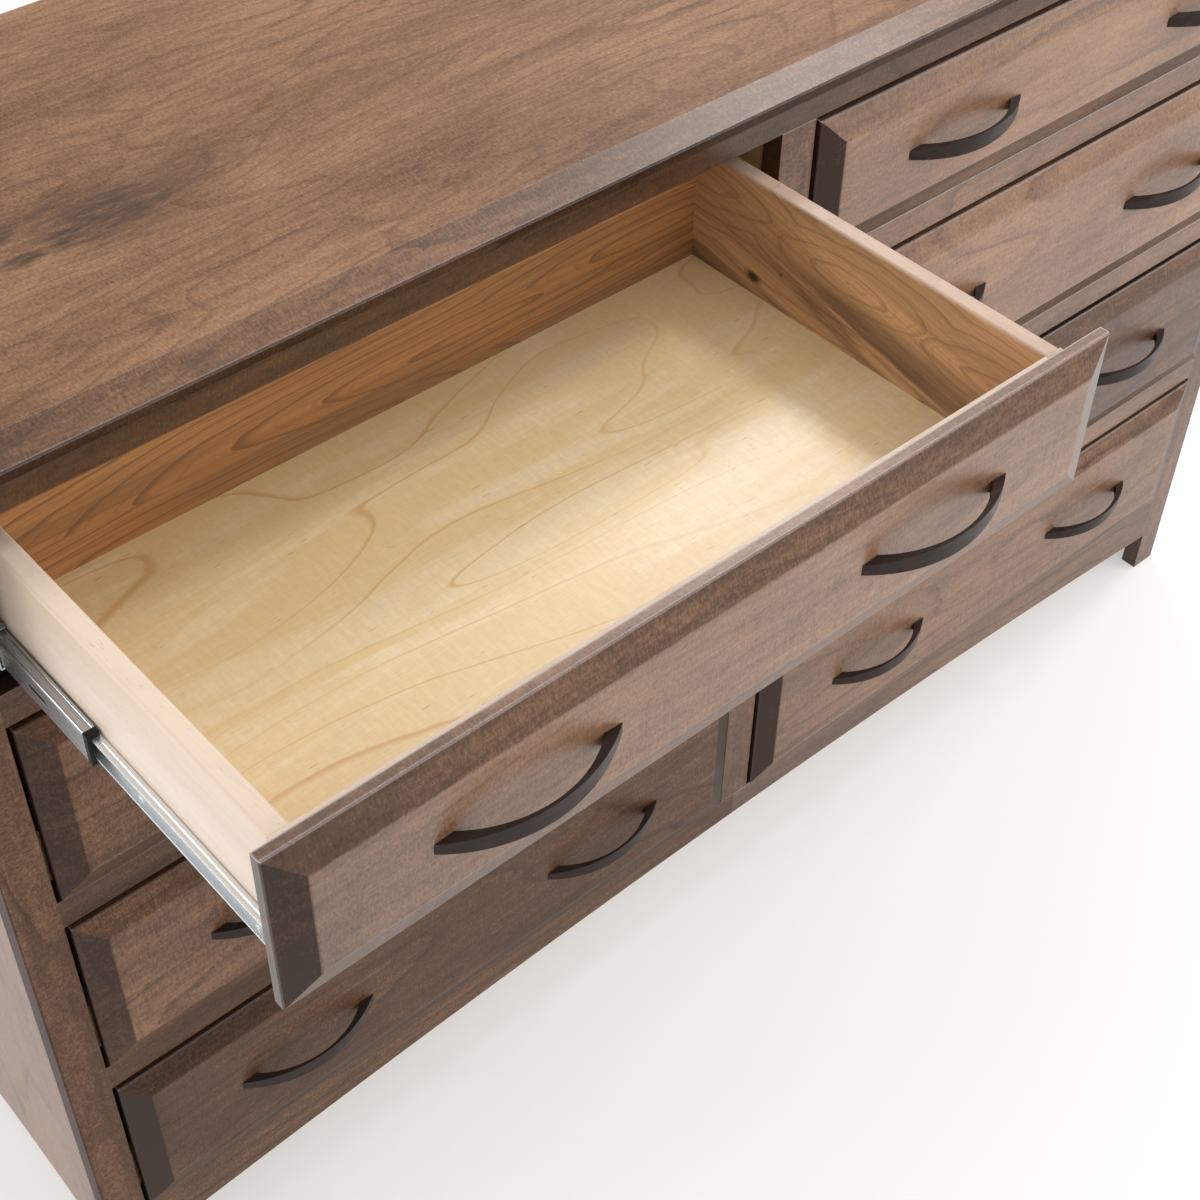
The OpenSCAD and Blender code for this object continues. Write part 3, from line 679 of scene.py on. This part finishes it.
def make_world():
    """Plain soft light from all round, on a background that the camera and reflections see as white."""
    world = bpy.data.worlds.new("studio")
    world.use_nodes = True
    tree = world.node_tree
    soft = tree.nodes["Background"]
    soft.inputs["Color"].default_value = (*WORLD_COLOUR, 1.0)
    soft.inputs["Strength"].default_value = WORLD_LEVEL
    white = tree.nodes.new("ShaderNodeBackground")
    white.inputs["Color"].default_value = (1.0, 1.0, 1.0, 1.0)
    blend = tree.nodes.new("ShaderNodeMixShader")
    tree.links.new(looked_at(tree), blend.inputs[0])
    tree.links.new(soft.outputs[0], blend.inputs[1])
    tree.links.new(white.outputs[0], blend.inputs[2])
    tree.links.new(blend.outputs[0], tree.nodes["World Output"].inputs["Surface"])
    bpy.context.scene.world = world


# Knots in the top, as seen in the photo: along X, along Y, reach and strength
TOP_KNOTS = (
    (-0.545, 0.112, 0.017, 1.00),
    (-0.512, 0.121, 0.036, 0.90),
    (-0.450, 0.128, 0.032, 0.60),
    (-0.580, 0.107, 0.011, 1.00),
    (-0.590, 0.142, 0.013, 0.90),
    (-0.550, -0.012, 0.008, 0.50),
    (-0.549, -0.056, 0.009, 0.50),
    (-0.728, -0.040, 0.045, 0.45),
)


# How each front differs from the plain stain, in the order of DRAWERS
# Partly painted: the lower left fronts are darker, with less sheen, as painted shade under the top left
# drawer when it stands open, and the top left front keeps light edges where the others' are painted shade
FRONT_LOOKS = (
    {"tone": 0.06, "sheen": 0.88, "edge": -0.08, "lower": -0.15, "upper": -0.19, "left_bevel_painted_shade": -0.44,
     "left_end_painted_shade": -0.15},
    {"tone": -0.12, "sheen": 0.22},
    {"tone": -0.14, "sheen": 0.32, "curl": 0.8, "lower": -0.16, "upper": -0.08, "tilt": 0.1},
    {"tone": -0.29, "sheen": 0.28, "curl": 0.6, "lower": -0.10, "upper": -0.16},
    {"tone": 0.04, "sheen": 0.85, "curl": 0.6, "lower": -0.27, "upper": -0.10, "left_bevel_painted_shade": -0.60,
     "tilt": 0.3},
    {"tone": 0.07, "sheen": 0.80, "curl": 0.8, "lower": -0.32, "upper": -0.04, "left_bevel_painted_shade": -0.60,
     "tilt": 0.45},
    {"tone": -0.27, "sheen": 0.62, "curl": 0.5, "lower": -0.06, "upper": 0.07, "left_bevel_painted_shade": -0.50,
     "tilt": 0.35},
    {"tone": -0.03, "sheen": 0.68, "curl": 0.8, "lower": -0.09, "left_bevel_painted_shade": -0.56, "tilt": -0.05,
     "left_end_painted_shade": -0.08},
)


def dress_nodes():
    """Gives every CAD node its material."""
    # Painted shade and highlight: the top's edges are much darker, and its arrises carry a strong painted
    # highlight
    paint("top", stained("top_stain", "flat", 1.0, 0.03, 0.11, 0.2, -0.50, cut_sheen=4.0,
                         least_painted_highlight=0.9, knot_places=TOP_KNOTS))
    # Painted shade: on the left half the outer stiles, drawer rails and bottom rail are darker, with less
    # sheen,
    # under the top left drawer when it stands open; their edges in the gaps are darker too
    paint("outer_stiles", stained("outer_stile_stain", "z", 2.0, (-0.20, -0.14), (0.15, 0.64), 0.3))
    paint("centre_stile", stained("centre_stile_stain", "z", 3.0, -0.18, 0.47, 0.3))
    # Painted shade: the top rail is darker for the shade under the top's overhang
    paint("top_rail", stained("top_rail_stain", "x", 4.0, -0.32, 0.5, 0.3))
    paint("drawer_rails", stained("drawer_rail_stain", "x", 5.0, (-0.34, -0.07), (0.24, 0.76), 0.3))
    paint("bottom_rail", stained("bottom_rail_stain", "x", 6.0, (-0.22, -0.18), (0.30, 0.62), 0.3))
    paint("side_panels", stained("side_stain", "z", 7.0, 0.08, 0.8, 0.3, -0.10))
    paint("back_panel", stained("back_stain", "z", 8.0, 0.0, 0.3, 0.3, -0.10))
    inner = ply("case_ply", 3.0)
    for node in ("centre_partition", "bottom_panel", "slide_cleats"):
        paint(node, inner)
    zinc = steel("zinc", BRIGHT)
    # Painted shade: the case members are darker to stand for the dim surroundings they reflect
    paint("case_slides", steel("painted_shade_zinc", PAINTED_SHADE_LEVEL))
    make_screws(zinc)
    pull_finish = bronze("pull_bronze")
    for number, place in enumerate(DRAWERS):
        look = dict(FRONT_LOOKS[number], left_end_painted_shade_from=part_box("front_" + place)[0].x)
        paint("front_" + place, stained("front_stain_" + place, "x", 10.0 + number, **look))
        paint("box_" + place, clear_wood("box_wood_" + place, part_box("box_" + place), 0.1 * number))
        paint("box_bottom_" + place, ply("bottom_ply_" + place, 20.0 + number))
        paint("pulls_" + place, pull_finish)
        paint("drawer_slides_" + place, zinc)
        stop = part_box("middle_slides_" + place)
        # The middle members are darker too, as painted shade
        paint("middle_slides_" + place, steel("zinc_and_stop_" + place, PAINTED_SHADE_LEVEL, stop))


def make_screws(material):
    """The screws that hold each drawer's pulls, inside its box, and its slides."""
    for place in DRAWERS:
        front_low, front_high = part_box("front_" + place)
        low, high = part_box("box_" + place)
        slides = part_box("drawer_slides_" + place)
        width = front_high.x - front_low.x
        middle = (front_low.z + front_high.z) / 2.0
        heads = []
        for share in PULL_PLACES:
            for foot in (-PULL_SCREW, PULL_SCREW):
                at = (front_low.x + width * share + foot, low.y + BOARD, middle)
                heads.append(screw_head(at, (0.0, 1.0, 0.0), *PULL_HEAD))
        level = (slides[0].z + slides[1].z) / 2.0
        for y in SLIDE_SCREWS:
            for x, way in ((low.x - STEEL, -1.0), (high.x + STEEL, 1.0)):
                heads.append(screw_head((x, slides[0].y + y, level), (way, 0.0, 0.0), *SLIDE_HEAD))
        mesh_piece("screws_" + place, heads, "drawer_" + place, material)


make_camera()
make_world()
make_floor()
area_light("key_light", **KEY)
area_light("back_light", **BACK)
area_light("fill_light", **FILL)
area_light("front_light", **FRONT)
area_light("side_light", **SIDE)
bpy.context.scene.view_settings.view_transform = "Standard"
dress_nodes()
